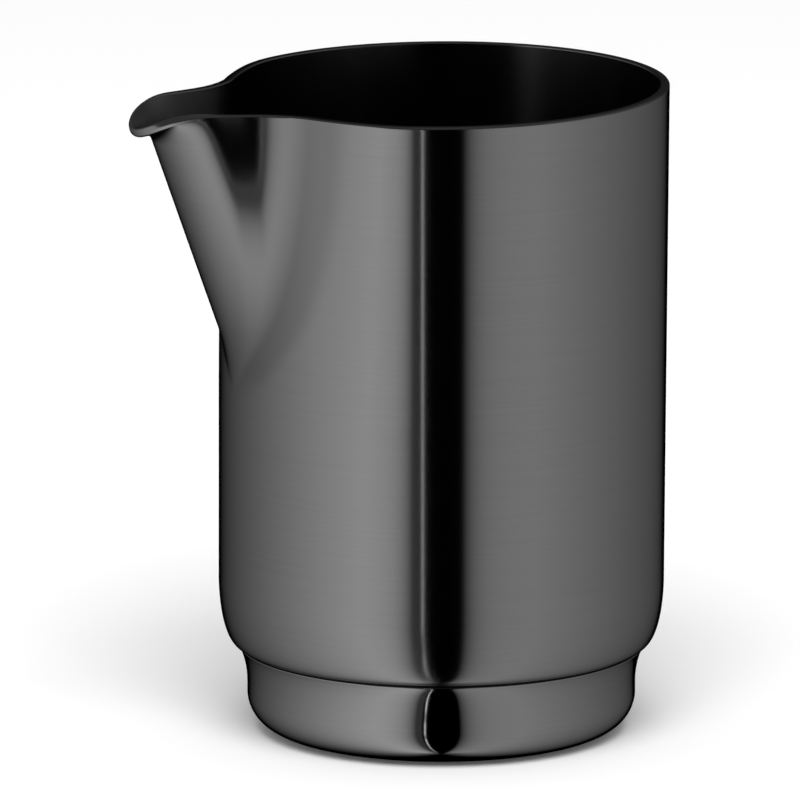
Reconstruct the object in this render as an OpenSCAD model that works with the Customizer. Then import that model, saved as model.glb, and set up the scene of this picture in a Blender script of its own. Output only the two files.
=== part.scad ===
// Table creamer: a drawn vessel with a pulled spout, standing on a separate hollow foot.
// Millimetres, +Z up. The origin is on the body's axis, in the plane that the creamer stands on.
// The spout points along -X.

/* [Vessel] */
// Outside diameter of the body just above its shoulder
body_d = 72; // [64:0.5:80]
// Outside diameter of the body at its rim
rim_d = 73.2; // [65:0.1:82]
// Height of the rim above the table, at the back
rim_h = 106; // [95:0.5:125]
// Thickness of the vessel's wall
wall_t = 1.6; // [1.4:0.1:2]
// Thickness of the vessel's floor
floor_t = 1.6; // [1.2:0.1:3]
// Height of the rounded shoulder
shoulder_h = 10.8; // [8:0.1:13]
// Distance that the shoulder turns in
shoulder_in = 2.9; // [2.4:0.1:4]
// Radius of the corner between the floor and the inside wall
floor_corner_r = 8; // [5:0.5:12]
// Radius along the edges of the cut rim
rim_edge_r = 0.6; // [0.2:0.05:0.65]

/* [Spout] */
// Distance that the spout stands out from the body at the rim
spout_reach = 15.9; // [12:0.1:17.5]
// Depth from the rim down to where the spout grows out of the wall
spout_depth = 42.7; // [36:0.1:50]
// Radius of the spout's rounded nose at the rim, seen from above
nose_r = 11.6; // [10:0.1:13]
// Radius of the nose at the spout's lower end
nose_toe_r = 13.7; // [11:0.1:16]
// Radius of the hollow between the spout and the body at the rim
valley_r = 14.5; // [11:0.5:18]
// Radius of the hollow at the spout's lower end
valley_toe_r = 11.5; // [8:0.5:18]
// Direction of the straight flank between nose and hollow, as a share of the steepest possible one
flank_share = 0.89; // [0.82:0.01:0.98]
// Half the height over which the spout's lower end blends into the wall
toe_blend = 5.25; // [3:0.25:7]
// Distance that the body is drawn in on both sides of the spout, at the rim
draw_in = 1.2; // [0:0.1:1.5]
// Drop of the rim from the back to the spout
rim_fall = 0.5; // [0:0.1:1.5]

/* [Pouring lip] */
// Length of the wall that is bent over at the spout's tip
lip_l = 3.9; // [3:0.1:6]
// Angle through which the lip bends over at the tip
lip_turn = 91; // [60:1:110]
// Drop of the lip's edge at the tip
lip_drop = 3.9; // [2.5:0.1:4.5]

/* [Foot] */
// Outside diameter of the foot
foot_d = 62.8; // [57:0.1:64.5]
// Height of the foot, from its underside to the vessel
foot_h = 14.1; // [12:0.1:18]
// Thickness of the foot's wall
foot_t = 1.2; // [0.8:0.1:1.6]
// Radius of the foot's lower edge
foot_edge_r = 5.7; // [4:0.1:6]
// Height of the flared neck at the top of the foot
neck_h = 7; // [5:0.1:7.5]
// Distance that the neck's edge stands out past the vessel's flat underside
seam_step = 0.1; // [0:0.05:0.3]

/* [Base] */
// Diameter of the opening in the foot's underside
opening_d = 44; // [38:0.5:46]
// Distance that the base plate overlaps the edge of the opening
plate_lap = 2.6; // [1.5:0.1:3]
// Thickness of the base plate
plate_t = 1.2; // [0.8:0.1:2]
// Gap around the pad in the opening
pad_gap = 0.3; // [0.2:0.05:0.6]
// Distance that the pad stands below the foot
pad_proud = 0.3; // [0.2:0.05:1]
// Radius along the pad's lower edge
pad_edge_r = 0.4; // [0.2:0.1:0.6]

/* [Hidden] */
metal = [0.24, 0.24, 0.25];
rubber = [0.05, 0.05, 0.05];
$fn = 96;

body_r = body_d / 2;
rim_r = rim_d / 2;
foot_r = foot_d / 2;
opening_r = opening_d / 2;

// Heights above the table
foot_z = pad_proud;
seat_z = foot_z + foot_h;
shoulder_z = seat_z + shoulder_h;
toe_z = rim_h - spout_depth;
skirt_z = toe_z - toe_blend - 1;

// Radius of the vessel's flat underside, and of the neck's upper edge under it
flat_r = body_r - shoulder_in;
neck_r = flat_r + seam_step;

// Directions around the body, in degrees from the spout: the wall is drawn in up to draw_full
// and is round again from draw_end. The draw-in grows with this power of the height.
draw_full = 35;
draw_end = 62;
draw_growth = 1.4;
// Powers by which the lip's bend and its drop fade around the nose
turn_fade = 5.9;
drop_fade = 5.1;

// Columns around the vessel, crowded towards the spout, and steps in each stretch of its profile
columns = 84;
crowding = 1.57;
shoulder_steps = 7;
spout_steps = 12;
lip_steps = 4;
edge_steps = 2;
corner_steps = 4;

function clamp(x, low, high) = min(max(x, low), high);
function smooth(t) = 0.5 - 0.5 * cos(180 * clamp(t, 0, 1));

// Radius of the round body at height z
function round_r(z) = body_r + (rim_r - body_r) * (z - shoulder_z) / (rim_h - shoulder_z);

// Share of the draw-in that is reached at height z
function drawn_share(z) = pow(clamp((z - shoulder_z) / (rim_h - shoulder_z), 0, 1), draw_growth);

// Radius of the body beside the spout, where pulling the spout has drawn the wall in
function side_r(a, z) =
    round_r(z) - draw_in * drawn_share(z) * smooth((draw_end - a) / (draw_end - draw_full));

// Distance that the nose stands out at height z, with a soft start at the toe
function nose_out(z) =
    let (slope = spout_reach / spout_depth, up = z - toe_z)
    up <= -toe_blend ? 0
    : up < toe_blend ? slope * pow(up + toe_blend, 2) / (4 * toe_blend)
    : slope * up;

// Stretches of the horizontal section at height z: the nose's centre, its radius, the hollow's
// radius, the flank's direction, and the middle of the hollow as [along, across]
function stretches(z) =
    let (
        low = clamp((rim_h - z) / spout_depth, 0, 1),
        nose = nose_r + (nose_toe_r - nose_r) * low,
        hollow = valley_r + (valley_toe_r - valley_r) * low,
        c = side_r(0, z) + nose_out(z) - nose,
        reach = side_r(0, z) + hollow,
        touching = acos(min(1, (pow(reach, 2) + pow(c, 2) - pow(nose + hollow, 2)) / (2 * c * reach))),
        flank = flank_share * atan2(reach * sin(touching), reach * cos(touching) - c),
        across = c * sin(flank),
        far = pow(c, 2) + 2 * c * (nose + hollow) * cos(flank) + pow(nose + hollow, 2),
        length = max(0, across - sqrt(max(0, pow(across, 2) - far + pow(reach, 2)))),
        middle = [c + (nose + hollow) * cos(flank), (nose + hollow) * sin(flank)]
            + length * [-sin(flank), cos(flank)]
    )
    [c, nose, hollow, flank, middle];

// Point of the horizontal section at height z in the direction a from the spout, with its outward
// normal: nose, straight flank, hollow, body. Returned as [along, across, normal along, across].
function section(a, z) =
    let (
        b = abs(a),
        side = a < 0 ? -1 : 1,
        s = stretches(z),
        c = s[0],
        nose = s[1],
        hollow = s[2],
        flank = s[3],
        middle = s[4],
        reach = norm(middle),
        middle_a = atan2(middle.y, middle.x),
        normal = [cos(flank), sin(flank)],
        nose_end = [c, 0] + nose * normal,
        flank_end = middle - hollow * normal,
        on_nose = b <= atan2(nose_end.y, nose_end.x),
        on_flank = b < atan2(flank_end.y, flank_end.x),
        on_hollow = b < middle_a,
        dist = on_nose ? c * cos(b) + sqrt(pow(nose, 2) - pow(c * sin(b), 2))
            : on_flank ? (c * cos(flank) + nose) / cos(b - flank)
            : on_hollow ? reach * cos(b - middle_a) - sqrt(pow(hollow, 2) - pow(reach * sin(b - middle_a), 2))
            : side_r(b, z),
        p = [dist * cos(b), dist * sin(b)],
        n = on_nose ? (p - [c, 0]) / nose
            : on_flank ? normal
            : on_hollow ? (middle - p) / hollow
            : [cos(b), sin(b)]
    )
    [p.x, p.y * side, n.x, n.y * side];

function wall_point(a, z) = let (s = section(a, z)) [-s[0], -s[1], z];
function wall_normal(a, z) = let (s = section(a, z)) [-s[2], -s[3], 0];

// Share of the lip's full bend in the direction a: all of it at the tip, none past the nose
function lip_share(a, power) =
    let (c = side_r(0, rim_h) + spout_reach - nose_r, s = section(a, rim_h))
    s[0] > c ? pow(clamp(s[2], 0, 1), power) : 0;
function lip_angle(a) = max(lip_turn * lip_share(a, turn_fade), 0.5);

// Lean of the wall below the lip, from upright
function lean(a) = atan((wall_point(a, rim_h) - wall_point(a, rim_h - 1)) * wall_normal(a, rim_h));

// Distance out from the wall and rise above the lip's start, after a length l of the bend
function lip_out(a, l) = let (k = lip_angle(a), e = lean(a), r = lip_l / (k * PI / 180))
    r * (cos(e) - cos(e + k * l / lip_l));
function lip_rise(a, l) = let (k = lip_angle(a), e = lean(a), r = lip_l / (k * PI / 180))
    r * (sin(e + k * l / lip_l) - sin(e));

// Height of the rim's edge and of the lip's start
function edge_z(a) =
    let (along = section(a, rim_h)[0])
    rim_h - rim_edge_r - rim_fall * (along + rim_r) / (2 * rim_r + spout_reach)
    - lip_drop * lip_share(a, drop_fade);
function lip_z(a) = edge_z(a) - lip_rise(a, lip_l);

// Outside point of the upper wall in the direction a: s runs from 0 at the skirt to 1 at the
// lip's start, and on to 2 at the rim's edge
function outside(a, s) =
    s <= 1 ? wall_point(a, skirt_z + (lip_z(a) - skirt_z) * s)
    : let (l = (s - 1) * lip_l, p = wall_point(a, lip_z(a)), n = wall_normal(a, lip_z(a)))
        p + n * lip_out(a, l) + [0, 0, lip_rise(a, l)];

// Direction out of the sheet at the same place, from nearby points, and the way up along it
function unit(v) = v / norm(v);
function up_at(a, s) = unit(outside(a, s + (s < 0.01 ? 0.01 : 0)) - outside(a, s - (s < 0.01 ? 0 : 0.01)));
function out_at(a, s) = unit(cross(outside(a + 0.2, s) - outside(a - 0.2, s), up_at(a, s)));

// Point inside the sheet at a depth from its outside, past the rim's edge by a height
function sheet_point(a, s, depth, past = 0) =
    outside(a, s) - out_at(a, s) * depth + up_at(a, s) * past;

// Distances along the upper wall: fewer on the body, more where the spout and the lip bend
upper_s = [
    for (k = [0 : spout_steps]) k / spout_steps,
    for (k = [1 : lip_steps]) 1 + k / lip_steps
];

// Depth and height of the rounded cut edge, from the outside to the inside of the sheet
edge_profile = [
    for (k = [1 : edge_steps])
        let (t = 90 * k / edge_steps) [rim_edge_r * (1 - cos(t)), rim_edge_r * sin(t)],
    for (k = [0 : edge_steps - 1])
        let (t = 90 * k / edge_steps) [wall_t - rim_edge_r * (1 - sin(t)), rim_edge_r * cos(t)]
];

// One column of the vessel's profile, from the middle of the underside, up the outside, over the
// rim and down the inside to the middle of the floor. The two middle points are left out.
function column(a) =
    let (
        out = [-cos(a), -sin(a), 0],
        inner_r = body_r - wall_t,
        inner_floor = seat_z + floor_t
    )
    [
        for (k = [0 : shoulder_steps])
            let (t = 90 * k / shoulder_steps)
            out * (flat_r + shoulder_in * sin(t)) + [0, 0, shoulder_z - shoulder_h * cos(t)],
        for (s = upper_s) outside(a, s),
        for (e = edge_profile) sheet_point(a, 2, e[0], e[1]),
        for (k = [len(upper_s) - 1 : -1 : 0]) sheet_point(a, upper_s[k], wall_t),
        for (k = [0 : corner_steps])
            let (t = 90 * k / corner_steps)
            out * (inner_r - floor_corner_r * (1 - cos(t)))
                + [0, 0, inner_floor + floor_corner_r * (1 - sin(t))]
    ];

module vessel() {
    half = columns / 2;
    turns = [for (i = [0 : columns - 1])
        let (t = (i - half) / half) sign(t) * 180 * pow(abs(t), crowding)];
    rows = len(column(0));
    last = columns * rows;
    points = [
        for (a = turns) each column(a),
        [0, 0, seat_z],
        [0, 0, seat_z + floor_t]
    ];
    faces = [
        for (i = [0 : columns - 1])
            let (p = i * rows, q = (i + 1) % columns * rows)
            each [
                for (k = [0 : rows - 2])
                    each [[p + k, p + k + 1, q + k + 1], [p + k, q + k + 1, q + k]],
                [last, p, q],
                [last + 1, q + rows - 1, p + rows - 1]
            ]
    ];
    color(metal) polyhedron(points, faces, convexity = 6);
}

module foot_shell() {
    // The neck is part of an ellipse that is upright at its foot and leans out at its top
    neck_turn = 60;
    neck_z = seat_z - neck_h;
    out = (neck_r - foot_r) / (1 - cos(neck_turn));
    up = neck_h / sin(neck_turn);
    inner_turn = asin(neck_h / (up + foot_t));
    steps = 10;
    profile = [
        [opening_r, foot_z],
        for (k = [0 : steps])
            let (t = 90 * k / steps)
            [foot_r - foot_edge_r * (1 - sin(t)), foot_z + foot_edge_r * (1 - cos(t))],
        for (k = [0 : steps])
            let (t = neck_turn * k / steps) [foot_r + out * (1 - cos(t)), neck_z + up * sin(t)],
        for (k = [steps : -1 : 0])
            let (t = inner_turn * k / steps)
            [foot_r + out - (out + foot_t) * cos(t), neck_z + (up + foot_t) * sin(t)],
        for (k = [steps : -1 : 0])
            let (t = 90 * k / steps, r = foot_edge_r - foot_t)
            [foot_r - foot_edge_r + r * sin(t), foot_z + foot_edge_r - r * cos(t)],
        [opening_r, foot_z + foot_t]
    ];
    color(metal) rotate_extrude() polygon(profile);
}

module base_plate() {
    color(metal)
        translate([0, 0, foot_z + foot_t])
            cylinder(h = plate_t, r = opening_r + plate_lap);
}

module base_pad() {
    pad_r = opening_r - pad_gap;
    pad_t = foot_t + pad_proud;
    steps = 6;
    color(rubber)
        rotate_extrude()
            polygon([
                [0, 0],
                for (k = [0 : steps])
                    let (t = 90 * k / steps)
                    [pad_r - pad_edge_r * (1 - sin(t)), pad_edge_r * (1 - cos(t))],
                [pad_r, pad_t],
                [0, pad_t]
            ]);
}

vessel();
foot_shell();
base_plate();
base_pad();
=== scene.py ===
"""Looks of the creamer: finely modelled sheet metal, brushed finish, studio light and camera."""

import math

import bpy
import numpy as np
from mathutils import Matrix, Vector


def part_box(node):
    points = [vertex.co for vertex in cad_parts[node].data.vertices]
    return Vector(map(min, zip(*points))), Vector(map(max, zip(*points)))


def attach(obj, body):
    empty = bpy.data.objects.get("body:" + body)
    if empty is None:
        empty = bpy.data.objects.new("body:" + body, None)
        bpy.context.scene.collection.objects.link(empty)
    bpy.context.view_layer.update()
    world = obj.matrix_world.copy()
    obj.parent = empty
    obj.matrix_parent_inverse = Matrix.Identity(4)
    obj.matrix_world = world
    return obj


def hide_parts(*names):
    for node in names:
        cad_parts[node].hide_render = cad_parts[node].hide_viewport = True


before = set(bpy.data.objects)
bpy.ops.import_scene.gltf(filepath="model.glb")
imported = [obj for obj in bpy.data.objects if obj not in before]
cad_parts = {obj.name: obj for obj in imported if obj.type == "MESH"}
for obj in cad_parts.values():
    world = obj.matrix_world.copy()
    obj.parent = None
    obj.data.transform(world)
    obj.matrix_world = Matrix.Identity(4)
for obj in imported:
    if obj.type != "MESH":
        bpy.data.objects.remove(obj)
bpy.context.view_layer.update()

MM = 0.001

# Places taken from the frame
VESSEL_LOW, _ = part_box("vessel")
FOOT_LOW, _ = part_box("foot_shell")
SEAT_Z = VESSEL_LOW.z
FOOT_Z = FOOT_LOW.z

# Vessel
RIM_H = 105.99 * MM
BODY_R = 36 * MM
RIM_R = 36.597 * MM
WALL = 1.6 * MM
FLOOR = 1.6 * MM
SHOULDER_H = 10.8 * MM
SHOULDER_IN = 2.9 * MM
FLOOR_CORNER_R = 8 * MM
RIM_EDGE_R = 0.32 * MM
RIM_INNER_R = 0.2 * MM
LIP_EDGE_R = 0.6 * MM
SHOULDER_Z = SEAT_Z + SHOULDER_H
FLAT_R = BODY_R - SHOULDER_IN

# Spout
SPOUT_REACH = 15.86 * MM
SPOUT_DEPTH = 42.7 * MM
NOSE_R = 11.6 * MM
NOSE_TOE_R = 13.7 * MM
VALLEY_R = 14.5 * MM
VALLEY_TOE_R = 11.5 * MM
FLANK_SHARE = 0.89
TOE_BLEND = 5.25 * MM
DRAW_IN = 1.2 * MM
DRAW_FULL = 35
DRAW_END = 62
DRAW_GROWTH = 1.4
RIM_FALL = 0.5 * MM
TOE_Z = RIM_H - SPOUT_DEPTH
SKIRT_DROP = 1 * MM
SKIRT_Z = TOE_Z - TOE_BLEND - SKIRT_DROP

# Pouring lip
LIP_L = 3.9 * MM
LIP_TURN = 91
LIP_DROP = 3.9 * MM
TURN_FADE = 5.2
DROP_FADE = 5.1
LEAST_TURN = 0.5

# Foot
FOOT_R = 31.4 * MM
FOOT_T = 1.2 * MM
FOOT_EDGE_R = 5.7 * MM
NECK_H = 7 * MM
NECK_R = FLAT_R + 0.1 * MM
NECK_TURN = 60
NECK_EDGE_R = 0.12 * MM
NECK_ROUNDING_ROOM = 1.6
SEAM_GAP = 0.4 * MM
SEAM_DEPTH = 0.8 * MM
OPENING_R = 22 * MM

# Rounding that keeps the shading apart at inner corners
SOFT = 0.03 * MM

# Duller finish made by hand, which in the hollows outside also carries painted shade, in degrees
# around the body
HAND_AND_SHADE_FADE = 8
HAND_AND_SHADE_PAST_HOLLOW = 14

# Detail of the meshes: columns around the axis, their crowding towards the spout, and rows
VESSEL_COLUMNS = 420
VESSEL_CROWDING = 1.57
FOOT_COLUMNS = 300
SHOULDER_ROWS = 28
WALL_ROWS = 64
LIP_ROWS = 20
EDGE_ROWS = 7
CORNER_ROWS = 14
FOOT_ROWS = 24
NECK_EDGE_ROWS = 8

# Steps over which the sheet's directions are measured: along the sheet and in degrees around it
ALONG_STEP = 0.01
AROUND_STEP = 0.2

# Least cosine that a flank's distance is divided by, away from the flank
LEAST_COSINE = 0.01

# Camera, from its distance, its height angle and the direction of the spout in the picture
CAMERA_DISTANCE = 2160 * MM
CAMERA_ELEVATION = 12.262
SPOUT_AZIMUTH = 21.65
CAMERA_SIDE = -6.68 * MM
CAMERA_AIM_Z = 53.88 * MM
CAMERA_LENS = 602.9
CAMERA_FAR = 20
SENSOR = 36


def cosd(angle):
    return np.cos(np.radians(angle))


def sind(angle):
    return np.sin(np.radians(angle))


def smooth(t):
    return 0.5 - 0.5 * np.cos(np.pi * np.clip(t, 0, 1))


def unit(v):
    return v / np.linalg.norm(v, axis=-1, keepdims=True)


# Vessel surface: the same rules as the CAD part, on arrays of directions and heights


def side_radius(angle, z):
    """Radius beside the spout, where pulling the spout has drawn the wall in."""
    up = (z - SHOULDER_Z) / (RIM_H - SHOULDER_Z)
    drawn = np.clip(up, 0, 1) ** DRAW_GROWTH * smooth((DRAW_END - angle) / (DRAW_END - DRAW_FULL))
    return BODY_R + (RIM_R - BODY_R) * up - DRAW_IN * drawn


def nose_out(z):
    """Distance that the nose stands out, with a soft start at the toe."""
    slope = SPOUT_REACH / SPOUT_DEPTH
    up = z - TOE_Z
    blend = slope * (up + TOE_BLEND) ** 2 / (4 * TOE_BLEND)
    risen = np.where(up < TOE_BLEND, blend, slope * up)
    return np.where(up <= -TOE_BLEND, 0, risen)


def stretches(z):
    """Nose centre and radius, hollow radius, flank direction, the points where nose and flank end,
    and the centre of the hollow's arc."""
    r = side_radius(0, z)
    low = np.clip((RIM_H - z) / SPOUT_DEPTH, 0, 1)
    nose_r = NOSE_R + (NOSE_TOE_R - NOSE_R) * low
    valley_r = VALLEY_R + (VALLEY_TOE_R - VALLEY_R) * low
    c = r + nose_out(z) - nose_r
    reach = r + valley_r
    cosine = (reach**2 + c**2 - (nose_r + valley_r) ** 2) / (2 * c * reach)
    touching = np.degrees(np.arccos(np.minimum(1, cosine)))
    flank = FLANK_SHARE * np.degrees(np.arctan2(reach * sind(touching), reach * cosd(touching) - c))
    across = c * sind(flank)
    straight = c**2 + 2 * c * (nose_r + valley_r) * cosd(flank) + (nose_r + valley_r) ** 2
    root = np.sqrt(np.maximum(0, across**2 - straight + reach**2))
    length = np.maximum(0, across - root)
    tx, ty = c + nose_r * cosd(flank), nose_r * sind(flank)
    gx, gy = tx - length * sind(flank), ty + length * cosd(flank)
    vx, vy = gx + valley_r * cosd(flank), gy + valley_r * sind(flank)
    return c, nose_r, valley_r, flank, (tx, ty), (gx, gy), (vx, vy)


def section(angle, z):
    """Point and outward normal of the horizontal section: nose, straight flank, hollow, body."""
    angle, z = np.broadcast_arrays(np.asarray(angle, float), np.asarray(z, float))
    b = np.abs(angle)
    side = np.where(angle < 0, -1, 1)
    c, nose_r, valley_r, flank, (tx, ty), (gx, gy), (vx, vy) = stretches(z)
    reach = np.hypot(vx, vy)
    valley = np.degrees(np.arctan2(vy, vx))
    on_nose = b <= np.degrees(np.arctan2(ty, tx))
    on_flank = ~on_nose & (b < np.degrees(np.arctan2(gy, gx)))
    on_valley = ~on_nose & ~on_flank & (b < valley)
    nose_d = c * cosd(b) + np.sqrt(np.maximum(0, nose_r**2 - (c * sind(b)) ** 2))
    flank_d = (c * cosd(flank) + nose_r) / np.maximum(cosd(b - flank), LEAST_COSINE)
    valley_d = reach * cosd(b - valley) - np.sqrt(
        np.maximum(0, valley_r**2 - (reach * sind(b - valley)) ** 2)
    )
    where = [on_nose, on_flank, on_valley]
    dist = np.select(where, [nose_d, flank_d, valley_d], side_radius(b, z))
    x, y = dist * cosd(b), dist * sind(b)
    nx = np.select(
        where, [(x - c) / nose_r, cosd(flank), (vx - x) / valley_r], cosd(b)
    )
    ny = np.select(where, [y / nose_r, sind(flank), (vy - y) / valley_r], sind(b))
    return x, y * side, nx, ny * side


def lip_share(angle, power):
    """Share of the lip's full bend: all of it at the tip, none past the nose."""
    c = side_radius(0, RIM_H) + SPOUT_REACH - NOSE_R
    x, _, nx, _ = section(angle, RIM_H)
    return np.where(x > c, np.clip(nx, 0, 1) ** power, 0)


def lean(angle):
    """Lean of the wall below the lip, in degrees from upright."""
    x1, y1, nx, ny = section(angle, RIM_H)
    x0, y0, _, _ = section(angle, RIM_H - MM)
    return np.degrees(np.arctan(((x1 - x0) * nx + (y1 - y0) * ny) / MM))


def lip_curve(angle, length):
    """Distance out and rise after a length of the lip's bend."""
    turn = np.maximum(LIP_TURN * lip_share(angle, TURN_FADE), LEAST_TURN)
    start = lean(angle)
    r = LIP_L / np.radians(turn)
    end = start + turn * length / LIP_L
    return r * (cosd(start) - cosd(end)), r * (sind(end) - sind(start))


def edge_radius(angle, rim_r):
    """Rounding of the sheet's edge: the rim's own all round, and a full one at the lip's tip."""
    return rim_r + (LIP_EDGE_R - rim_r) * lip_share(angle, TURN_FADE)


def lip_start_z(angle):
    x = section(angle, RIM_H)[0]
    fall = RIM_FALL * (x + RIM_R) / (2 * RIM_R + SPOUT_REACH)
    drop = LIP_DROP * lip_share(angle, DROP_FADE)
    edge = RIM_H - edge_radius(angle, RIM_EDGE_R) - fall - drop
    return edge - lip_curve(angle, LIP_L)[1]


def outside(angle, s):
    """Outer skin: s is 0 at the skirt, 1 at the lip's start and 2 at the rim's edge."""
    angle, s = np.broadcast_arrays(np.asarray(angle, float), np.asarray(s, float))
    z = SKIRT_Z + (lip_start_z(angle) - SKIRT_Z) * np.minimum(s, 1)
    x, y, nx, ny = section(angle, z)
    out, rise = lip_curve(angle, np.maximum(s - 1, 0) * LIP_L)
    out = np.where(s > 1, out, 0)
    rise = np.where(s > 1, rise, 0)
    return np.stack([-(x + nx * out), -(y + ny * out), z + rise], -1)


def sheet_directions(angle, s):
    """Directions up along the sheet and out of it."""
    low = s < ALONG_STEP
    above = s + np.where(low, ALONG_STEP, 0)
    below = s - np.where(low, 0, ALONG_STEP)
    up = unit(outside(angle, above) - outside(angle, below))
    around = outside(angle + AROUND_STEP, s) - outside(angle - AROUND_STEP, s)
    out = unit(np.cross(around, up))
    return up, out


def hand_finish_and_shade(angle, z, inner):
    """Share of the duller finish: in the hollows outside, where it also carries painted shade, and
    all over the spout inside.
    """
    _, _, _, _, nose_end, _, hollow_end = stretches(z)
    first = np.degrees(np.arctan2(nose_end[1], nose_end[0]))
    last = np.degrees(np.arctan2(hollow_end[1], hollow_end[0]))
    b = np.abs(angle)
    high = smooth((z - SKIRT_Z) / (TOE_Z - SKIRT_Z))
    if inner:
        return high * smooth((last - b) / (last - first))
    grown = smooth((b - first) / HAND_AND_SHADE_FADE + 1)
    return high * grown * smooth((last + HAND_AND_SHADE_PAST_HOLLOW - b) / HAND_AND_SHADE_FADE)


def arc(centre_r, centre_z, radius_r, radius_z, start, end, steps):
    """Points of an ellipse's arc as (r, z) pairs; angles from +r towards +z."""
    turns = np.linspace(start, end, steps + 1)
    return [(centre_r + radius_r * cosd(a), centre_z + radius_z * sind(a)) for a in turns]


# Meshes


def grid_object(name, rows, bands, start_cap=None, end_cap=None):
    """Object from rows of points that close around; bands give (first row, material index)."""
    rows = np.asarray(rows)
    count, columns, _ = rows.shape
    points = rows.reshape(-1, 3).tolist()
    faces, slots = [], []
    band_of = np.zeros(count, int)
    for first, index in bands:
        band_of[first:] = index
    for k in range(count - 1):
        for i in range(columns):
            j = (i + 1) % columns
            low, high = k * columns, (k + 1) * columns
            faces.append((low + i, low + j, high + j, high + i))
            slots.append(band_of[k])
    for cap, row, flip in ((start_cap, 0, True), (end_cap, count - 1, False)):
        if cap is None:
            continue
        points.append(cap)
        for i in range(columns):
            a, b = row * columns + i, row * columns + (i + 1) % columns
            faces.append((b, a, len(points) - 1) if flip else (a, b, len(points) - 1))
            slots.append(band_of[row])
    mesh = bpy.data.meshes.new(name)
    mesh.from_pydata(points, [], faces)
    mesh.polygons.foreach_set("material_index", slots)
    mesh.polygons.foreach_set("use_smooth", [True] * len(faces))
    mesh.update()
    piece = bpy.data.objects.new(name, mesh)
    bpy.context.scene.collection.objects.link(piece)
    return piece


def lathe_rows(profile, columns):
    """Rows of points around the axis for a profile of (r, z) pairs."""
    turns = np.arange(columns) * 360 / columns
    profile = np.asarray(profile)
    r, z = profile[:, :1], profile[:, 1:]
    return np.stack([r * cosd(turns), r * sind(turns), z + 0 * turns], -1)


def vessel_piece():
    columns = VESSEL_COLUMNS
    t = (np.arange(columns) - columns / 2) / (columns / 2)
    angle = np.sign(t) * 180 * np.abs(t) ** VESSEL_CROWDING
    ring = np.stack([-cosd(angle), -sind(angle), 0 * angle], -1)

    def rings(profile):
        return [ring * r + np.array([0, 0, z]) for r, z in profile]

    shoulder_arc = arc(FLAT_R, SHOULDER_Z, SHOULDER_IN, SHOULDER_H, -90, 0, SHOULDER_ROWS)
    shoulder = rings(shoulder_arc)
    s_values = np.concatenate([np.linspace(0, 1, WALL_ROWS), np.linspace(1, 2, LIP_ROWS)[1:]])
    shape = (len(s_values), columns)
    angles = np.broadcast_to(angle, shape)
    s_grid = np.broadcast_to(s_values[:, None], shape)
    skin = outside(angles, s_grid)
    up, out = sheet_directions(angles, s_grid)
    edge_turn = np.linspace(0, 90, EDGE_ROWS)
    outer_r = edge_radius(angle, RIM_EDGE_R)[:, None]
    inner_r = edge_radius(angle, RIM_INNER_R)[:, None]
    edge_up, edge_out = up[-1], out[-1]
    edge = []
    for a in edge_turn[1:]:
        inward, rise = outer_r * (1 - cosd(a)), outer_r * sind(a)
        edge.append(skin[-1] - edge_out * inward + edge_up * rise)
    for a in edge_turn:
        inward, rise = WALL - inner_r * (1 - sind(a)), outer_r - inner_r + inner_r * cosd(a)
        edge.append(skin[-1] - edge_out * inward + edge_up * rise)
    inner = list((skin - out * WALL)[::-1])
    corner_r = BODY_R - WALL - FLOOR_CORNER_R
    corner_z = SEAT_Z + FLOOR + FLOOR_CORNER_R
    corner_arc = arc(corner_r, corner_z, FLOOR_CORNER_R, FLOOR_CORNER_R, 0, -90, CORNER_ROWS)
    rows = shoulder + list(skin) + edge + inner + rings(corner_arc)
    edge_row = len(shoulder) + len(skin) - 1
    inner_row = edge_row + len(edge)
    # Outside, this share also darkens the hollows beside the spout: painted shade.
    hand_and_shade = np.zeros((len(rows), columns))
    hand_and_shade[len(shoulder):][:len(skin)] = hand_finish_and_shade(angles, skin[..., 2], inner=False)
    inner_hand = hand_finish_and_shade(angles, skin[..., 2], inner=True)[::-1]
    hand_and_shade[inner_row + 1:][:len(inner)] = inner_hand
    piece = grid_object(
        "vessel_skin", rows, [(0, 0), (edge_row, 1), (inner_row, 2)],
        start_cap=(0, 0, SEAT_Z), end_cap=(0, 0, SEAT_Z + FLOOR),
    )
    finish = piece.data.attributes.new("hand_finish_and_shade", "FLOAT", "POINT")
    caps = [0, 0]
    finish.data.foreach_set("value", list(hand_and_shade.ravel()) + caps)
    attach(piece, "root")
    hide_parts("vessel")
    return piece


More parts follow.
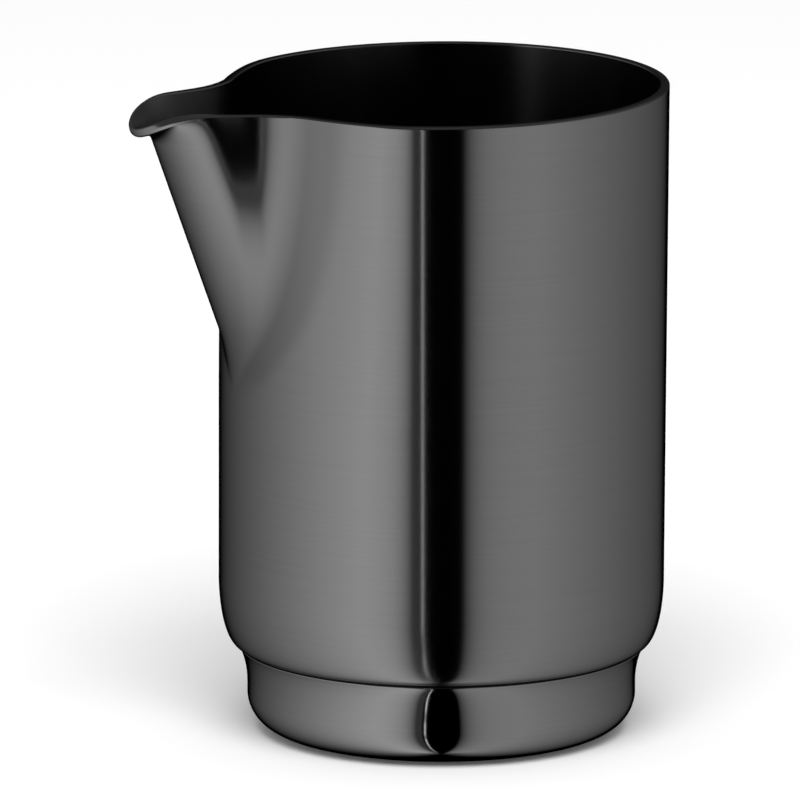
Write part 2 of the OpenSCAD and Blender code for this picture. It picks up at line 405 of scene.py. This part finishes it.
def foot_piece():
    neck_z = SEAT_Z - NECK_H
    edge_z = FOOT_Z + FOOT_EDGE_R
    edge_centre_r = FOOT_R - FOOT_EDGE_R
    flare_r = (NECK_R - FOOT_R) / (1 - cosd(NECK_TURN))
    flare_z = NECK_H / sind(NECK_TURN)
    flare_centre_r = FOOT_R + flare_r
    outer_h = NECK_H - SEAM_GAP - NECK_ROUNDING_ROOM * NECK_EDGE_R
    outer_turn = math.degrees(math.asin(outer_h / flare_z))
    inner_turn = math.degrees(math.asin(NECK_H / (flare_z + FOOT_T)))
    profile = [(OPENING_R, FOOT_Z + FOOT_T), (OPENING_R, FOOT_Z)]
    profile += arc(edge_centre_r, edge_z, FOOT_EDGE_R, FOOT_EDGE_R, -90, 0, FOOT_ROWS)
    profile += arc(flare_centre_r, neck_z, flare_r, flare_z, 180, 180 - outer_turn, FOOT_ROWS)
    slant = math.degrees(math.atan(flare_r / flare_z * math.tan(math.radians(outer_turn))))
    end_r, end_z = profile[-1]
    round_r = end_r - NECK_EDGE_R * cosd(slant)
    round_z = end_z + NECK_EDGE_R * sind(slant)
    profile += arc(round_r, round_z, NECK_EDGE_R, NECK_EDGE_R, -slant, 90, NECK_EDGE_ROWS)[1:]
    ledge_row = len(profile) - 1
    ledge_z = round_z + NECK_EDGE_R
    groove_r = NECK_R - SEAM_DEPTH
    profile += [(groove_r + SOFT, ledge_z), (groove_r, ledge_z + SOFT), (groove_r, SEAT_Z)]
    inner_flare = (flare_r + FOOT_T, flare_z + FOOT_T)
    profile += arc(flare_centre_r, neck_z, *inner_flare, 180 - inner_turn, 180, FOOT_ROWS)
    inner_r = FOOT_EDGE_R - FOOT_T
    profile += arc(edge_centre_r, edge_z, inner_r, inner_r, 0, -90, FOOT_ROWS)
    profile.append(profile[0])
    # From the neck's ledge inwards the foot takes a nearly black steel: painted shade in the seam's
    # groove.
    bands = [(0, 0), (ledge_row, 1)]
    piece = grid_object("foot_skin", lathe_rows(profile, FOOT_COLUMNS), bands)
    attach(piece, "root")
    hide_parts("foot_shell")
    return piece


# Materials

# Scale of the brushing on each axis, per metre: drawn out around the body, fine along its height
FINE_BRUSHING = (25, 25, 5200)
BROAD_BRUSHING = (35, 35, 2400)
FINE_DETAIL = 2.0
BROAD_DETAIL = 3.0
BRUSHING_RELIEF = 0.02 * MM
BRUSHING_STRENGTH = 0.05
TONE_SPREAD = 0.05
QUARTER_TURN = 0.25
HAND_SPREAD = 0.5

RUBBER_GREY = 0.03
RUBBER_ROUGHNESS = (0.6, 0.85)
RUBBER_GRAIN = (900, 900, 900)
RUBBER_DETAIL = 4.0
RUBBER_RELIEF = 0.1 * MM
RUBBER_STRENGTH = 0.4

# Sockets of the mix node for colours
MIX_A, MIX_B, MIX_RESULT = 6, 7, 2


def grey_colour(level):
    return (level, level, level, 1)


def new_material(name):
    material = bpy.data.materials.new(name)
    material.use_nodes = True
    nodes = material.node_tree.nodes
    nodes.clear()
    output = nodes.new("ShaderNodeOutputMaterial")
    shader = nodes.new("ShaderNodeBsdfPrincipled")
    material.node_tree.links.new(shader.outputs["BSDF"], output.inputs["Surface"])
    return material, shader


def scaled_noise(material, scale, detail):
    """Noise over the object's own place, stretched by a scale on each axis."""
    nodes, links = material.node_tree.nodes, material.node_tree.links
    place = nodes.new("ShaderNodeTexCoord")
    mapping = nodes.new("ShaderNodeMapping")
    mapping.inputs["Scale"].default_value = scale
    noise = nodes.new("ShaderNodeTexNoise")
    noise.inputs["Scale"].default_value = 1.0
    noise.inputs["Detail"].default_value = detail
    links.new(place.outputs["Object"], mapping.inputs["Vector"])
    links.new(mapping.outputs["Vector"], noise.inputs["Vector"])
    return noise.outputs["Fac"]


def ranged(material, value, low, high):
    """A value from 0 to 1 taken to a range."""
    node = material.node_tree.nodes.new("ShaderNodeMapRange")
    node.inputs["To Min"].default_value = low
    node.inputs["To Max"].default_value = high
    material.node_tree.links.new(value, node.inputs["Value"])
    return node.outputs["Result"]


def relief(material, shader, height, strength, distance):
    """Give the surface a fine relief from a value between 0 and 1."""
    nodes, links = material.node_tree.nodes, material.node_tree.links
    bump = nodes.new("ShaderNodeBump")
    bump.inputs["Strength"].default_value = strength
    bump.inputs["Distance"].default_value = distance
    links.new(height, bump.inputs["Height"])
    links.new(bump.outputs["Normal"], shader.inputs["Normal"])


def mixed_colour(material, share, first, second):
    """Colour between two, each of them a plain colour or another node's output."""
    nodes, links = material.node_tree.nodes, material.node_tree.links
    mix = nodes.new("ShaderNodeMix")
    mix.data_type = "RGBA"
    links.new(share, mix.inputs[0])
    for socket, colour in ((MIX_A, first), (MIX_B, second)):
        if isinstance(colour, tuple):
            mix.inputs[socket].default_value = colour
        else:
            links.new(colour, mix.inputs[socket])
    return mix.outputs[MIX_RESULT]


def brushed_steel(name, grey, roughness, spread, streaks, hand_roughness=0.2, hand_and_shade_grey=0.21):
    """Dark steel brushed around the body, with fine level streaks in its gloss and its relief, and
    a duller finish where it is worked by hand; its grey paints shade into the outside's hollows."""
    material, shader = new_material(name)
    nodes, links = material.node_tree.nodes, material.node_tree.links
    shader.inputs["Metallic"].default_value = 1.0
    shader.inputs["Anisotropic Rotation"].default_value = QUARTER_TURN
    tangent = nodes.new("ShaderNodeTangent")
    tangent.direction_type = "RADIAL"
    tangent.axis = "Z"
    links.new(tangent.outputs["Tangent"], shader.inputs["Tangent"])
    fine = scaled_noise(material, FINE_BRUSHING, FINE_DETAIL)
    broad = scaled_noise(material, BROAD_BRUSHING, BROAD_DETAIL)
    finish = nodes.new("ShaderNodeAttribute")
    finish.attribute_name = "hand_finish_and_shade"
    hand_and_shade = finish.outputs["Fac"]
    gloss = nodes.new("ShaderNodeMapRange")
    gloss.inputs["To Max"].default_value = hand_roughness
    links.new(hand_and_shade, gloss.inputs["Value"])
    brushed = ranged(material, fine, roughness - streaks, roughness + streaks)
    links.new(brushed, gloss.inputs["To Min"])
    links.new(gloss.outputs["Result"], shader.inputs["Roughness"])
    links.new(ranged(material, hand_and_shade, spread, HAND_SPREAD), shader.inputs["Anisotropic"])
    darker, lighter = grey_colour(grey * (1 - TONE_SPREAD)), grey_colour(grey * (1 + TONE_SPREAD))
    tone = mixed_colour(material, broad, darker, lighter)
    # Painted shade: the outside's hollows take the darker hand grey.
    tone = mixed_colour(material, hand_and_shade, tone, grey_colour(hand_and_shade_grey))
    links.new(tone, shader.inputs["Base Color"])
    relief(material, shader, fine, BRUSHING_STRENGTH, BRUSHING_RELIEF)
    return material


def rubber():
    material, shader = new_material("pad_rubber")
    shader.inputs["Base Color"].default_value = grey_colour(RUBBER_GREY)
    grain = scaled_noise(material, RUBBER_GRAIN, RUBBER_DETAIL)
    roughness = ranged(material, grain, *RUBBER_ROUGHNESS)
    material.node_tree.links.new(roughness, shader.inputs["Roughness"])
    relief(material, shader, grain, RUBBER_STRENGTH, RUBBER_RELIEF)
    return material


def paint(piece, *materials):
    """Give a piece its materials; its faces keep their places in the list."""
    places = [face.material_index for face in piece.data.polygons]
    piece.data.materials.clear()
    for material in materials:
        piece.data.materials.append(material)
    piece.data.polygons.foreach_set("material_index", places)


# Stage: floor, mirrored cards, lamps and camera

STAGE_HALF = 3.0
STAGE_GREY = 0.99
STAGE_ROUGHNESS = 0.9

# Cards around the object. Turns and rises are in degrees, seen from the object: a turn is counted
# from the camera, and a card's light grows from its near edge and falls off between two turns.
EDGE_BLUR = 7.5
LEFT_EDGE = 15
LEFT_FALL_FROM, LEFT_FALL_TO, LEFT_FALL_POWER = 40, 164, 1.25
RIGHT_LIGHT = 0.62
RIGHT_EDGE = 10.7
RIGHT_FALL_FROM, RIGHT_FALL_TO, RIGHT_FALL_POWER = 50, 161, 0.85

# Dim border before the left card's edge
BORDER_LIGHT, BORDER_EDGE, BORDER_BLUR = 0.1, 11, 1.2

# Narrow bright strip left of the camera, dimmer between two rises
STRIP_TURN, STRIP_WIDTH, STRIP_LIGHT = 9.7, 0.34, 2.5
STRIP_LEAST, STRIP_SHARE = 0.4, 0.6
STRIP_DIM_BELOW, STRIP_DIM_BLUR = -19, 4
STRIP_LIT_BELOW, STRIP_LIT_BLUR = -26, 5

# Rises at which the cards end, above and below
LEFT_TOP, LEFT_TOP_GAIN, LEFT_TOP_FROM, LEFT_TOP_BLUR = -5, 22, 35, 15
RIGHT_TOP, RIGHT_TOP_GAIN, RIGHT_TOP_FROM, RIGHT_TOP_BLUR = 3, -9, 45, 30
TOP_BLUR = 10
UNDER_FROM, UNDER_BLUR = -78, 12

# Dim ceiling, and the brighter part of it above the right card
SKY_LEAST, SKY_GAIN, SKY_FROM, SKY_BLUR = 0.02, 0.08, 14, 16
RIGHT_SKY, RIGHT_SKY_FROM, RIGHT_SKY_BLUR = 0.55, 45, 20
RIGHT_SKY_TOP, RIGHT_SKY_TOP_BLUR = 45, 15

# Ring that carries the cards' light, with a floor and a ceiling
RING_RADIUS, RING_LOW, RING_HIGH = 6.0, -14.0, 9.0
RING_COLUMNS = 1440
RING_RISES = range(-66, 54, 3)
RING_FLOOR_RADII = (0.7, 1.4, 2.1, 3.0, 4.0, 5.0)
RING_CEILING_RADIUS = 3.0
RING_CENTRE_RADIUS = 0.01

# Even light on everything but mirrored surfaces, and one large soft lamp
WORLD_LIGHT = 0.58
LAMP_SIZE = 2.0
LAMP_ENERGY = 75
LAMP_PLACE = (-0.6, -1.7, 2.5)
LAMP_AIM = (0, 0, 0.05)


def floor():
    half = STAGE_HALF
    corners = [(-half, -half, 0), (half, -half, 0), (half, half, 0), (-half, half, 0)]
    mesh = bpy.data.meshes.new("floor")
    mesh.from_pydata(corners, [], [(0, 1, 2, 3)])
    piece = bpy.data.objects.new("floor", mesh)
    bpy.context.scene.collection.objects.link(piece)
    material, shader = new_material("floor_paint")
    shader.inputs["Base Color"].default_value = grey_colour(STAGE_GREY)
    shader.inputs["Roughness"].default_value = STAGE_ROUGHNESS
    shader.inputs["Specular IOR Level"].default_value = 0.0
    paint(piece, material)
    piece.visible_glossy = False


def card_edge(side, start):
    """Growth of a card's light past its near edge."""
    return 1 - np.exp(-np.maximum(side - start, 0) / EDGE_BLUR)


def card_fall(side, start, end, power):
    """Fall of a card's light between two turns."""
    return np.clip((end - side) / (end - start), 0, 1) ** power


def card_light(turn, rise):
    """Brightness around the object, by a turn to the camera's left and a rise, in degrees."""
    side = np.abs(turn)
    to_left = turn > 0
    border = BORDER_LIGHT * smooth((side - BORDER_EDGE) / BORDER_BLUR)
    left = border + (1 - BORDER_LIGHT) * card_edge(side, LEFT_EDGE)
    left = left * card_fall(side, LEFT_FALL_FROM, LEFT_FALL_TO, LEFT_FALL_POWER)
    right = RIGHT_LIGHT * card_edge(side, RIGHT_EDGE)
    right = right * card_fall(side, RIGHT_FALL_FROM, RIGHT_FALL_TO, RIGHT_FALL_POWER)
    cards = np.where(to_left, left, right)
    dimmed = smooth((rise - STRIP_DIM_BELOW) / STRIP_DIM_BLUR)
    lit_again = smooth((STRIP_LIT_BELOW - rise) / STRIP_LIT_BLUR)
    strip = STRIP_LIGHT * np.exp(-(((turn - STRIP_TURN) / STRIP_WIDTH) ** 2))
    strip = strip * (STRIP_LEAST + STRIP_SHARE * dimmed + STRIP_SHARE * lit_again)
    left_top = LEFT_TOP + LEFT_TOP_GAIN * smooth((side - LEFT_TOP_FROM) / LEFT_TOP_BLUR)
    right_top = RIGHT_TOP + RIGHT_TOP_GAIN * smooth((side - RIGHT_TOP_FROM) / RIGHT_TOP_BLUR)
    over = smooth((rise - np.where(to_left, left_top, right_top)) / TOP_BLUR)
    under = smooth((UNDER_FROM - rise) / UNDER_BLUR)
    sky = SKY_LEAST + SKY_GAIN * smooth((rise - SKY_FROM) / SKY_BLUR)
    right_sky = RIGHT_SKY * cards * smooth((side - RIGHT_SKY_FROM) / RIGHT_SKY_BLUR)
    right_sky = right_sky * smooth((RIGHT_SKY_TOP - rise) / RIGHT_SKY_TOP_BLUR)
    sky = np.maximum(sky, np.where(to_left, 0, right_sky))
    return (cards + strip) * (1 - over) * (1 - under) + sky * over


def glow_material():
    """Light of each point's own strength."""
    material = bpy.data.materials.new("card_glow")
    material.use_nodes = True
    nodes, links = material.node_tree.nodes, material.node_tree.links
    nodes.clear()
    output = nodes.new("ShaderNodeOutputMaterial")
    glow = nodes.new("ShaderNodeEmission")
    attribute = nodes.new("ShaderNodeAttribute")
    attribute.attribute_name = "light"
    links.new(attribute.outputs["Color"], glow.inputs["Color"])
    links.new(glow.outputs["Emission"], output.inputs["Surface"])
    return material


def card_wall():
    """Tall ring of white cards, open in front and behind, that only the metal mirrors."""
    heights = [RING_RADIUS * math.tan(math.radians(rise)) for rise in RING_RISES]
    profile = [(r, RING_LOW) for r in (RING_CENTRE_RADIUS, *RING_FLOOR_RADII)]
    profile += [(RING_RADIUS, z) for z in (RING_LOW, *heights, RING_HIGH)]
    profile += [(r, RING_HIGH) for r in (RING_CEILING_RADIUS, RING_CENTRE_RADIUS)]
    rows = lathe_rows(profile, RING_COLUMNS)
    piece = grid_object("card_wall", rows, [(0, 0)])
    x, y, z = rows.reshape(-1, 3).T
    camera_turn = -90 - SPOUT_AZIMUTH
    turn = (camera_turn - np.degrees(np.arctan2(y, x)) + 180) % 360 - 180
    rise = np.degrees(np.arctan2(z, np.hypot(x, y)))
    light = card_light(turn, rise)
    tint = piece.data.color_attributes.new("light", "FLOAT_COLOR", "POINT")
    colours = np.stack([light, light, light, np.ones_like(light)], -1)
    tint.data.foreach_set("color", colours.ravel())
    paint(piece, glow_material())
    piece.visible_camera = False
    piece.visible_diffuse = False
    piece.visible_shadow = False
    piece.visible_transmission = False


def lamps():
    world = bpy.data.worlds.new("studio")
    bpy.context.scene.world = world
    world.use_nodes = True
    background = world.node_tree.nodes["Background"]
    background.inputs["Color"].default_value = grey_colour(1)
    background.inputs["Strength"].default_value = WORLD_LIGHT
    world.cycles_visibility.glossy = False
    lamp = bpy.data.lights.new("soft_box", "AREA")
    lamp.shape = "RECTANGLE"
    lamp.size = LAMP_SIZE
    lamp.size_y = LAMP_SIZE
    lamp.energy = LAMP_ENERGY
    holder = bpy.data.objects.new("soft_box", lamp)
    holder.location = LAMP_PLACE
    aim = Vector(LAMP_AIM) - holder.location
    holder.rotation_euler = aim.to_track_quat("-Z", "Y").to_euler()
    holder.visible_glossy = False
    bpy.context.scene.collection.objects.link(holder)


def camera():
    lens = bpy.data.cameras.new("camera")
    lens.sensor_width = SENSOR
    lens.lens = CAMERA_LENS
    lens.clip_end = CAMERA_FAR
    holder = bpy.data.objects.new("camera", lens)
    elevation = math.radians(CAMERA_ELEVATION)
    look = Vector((0, math.cos(elevation), -math.sin(elevation)))
    place = Vector((CAMERA_SIDE, 0, CAMERA_AIM_Z)) - CAMERA_DISTANCE * look
    aimed = look.to_track_quat("-Z", "Y").to_matrix().to_4x4()
    turn = Matrix.Rotation(math.radians(-SPOUT_AZIMUTH), 4, "Z")
    holder.matrix_world = turn @ Matrix.Translation(place) @ aimed
    bpy.context.scene.collection.objects.link(holder)
    bpy.context.scene.camera = holder


# The outside's default hand grey of 0.21, darker than its 0.26, is painted shade in the hollows
# beside the spout.
satin = brushed_steel("brushed_outside", grey=0.26, roughness=0.155, spread=0.95, streaks=0.02)
# The inside's grey, lower than the outside's, is painted shade inside the vessel.
inside = brushed_steel(
    "brushed_inside_shaded", grey=0.21, roughness=0.17, spread=0.7, streaks=0.02,
    hand_roughness=0.42, hand_and_shade_grey=0.22,
)
cut_edge = brushed_steel("cut_edge", grey=0.27, roughness=0.2, spread=0.3, streaks=0.03)
polished = brushed_steel("polished_foot", grey=0.27, roughness=0.07, spread=0.9, streaks=0.01)
# Nearly black steel from the foot's ledge inwards: painted shade in the seam's groove and on the
# foot's hidden inside.
groove_shade_steel = brushed_steel("groove_shade_steel", grey=0.05, roughness=0.4, spread=0.3, streaks=0.05)
plate_steel = brushed_steel("plate_steel", grey=0.3, roughness=0.35, spread=0.3, streaks=0.05)

paint(vessel_piece(), satin, cut_edge, inside)
paint(foot_piece(), polished, groove_shade_steel)
paint(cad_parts["base_plate"], plate_steel)
paint(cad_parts["base_pad"], rubber())

floor()
card_wall()
lamps()
camera()
bpy.context.scene.view_settings.view_transform = "Standard"
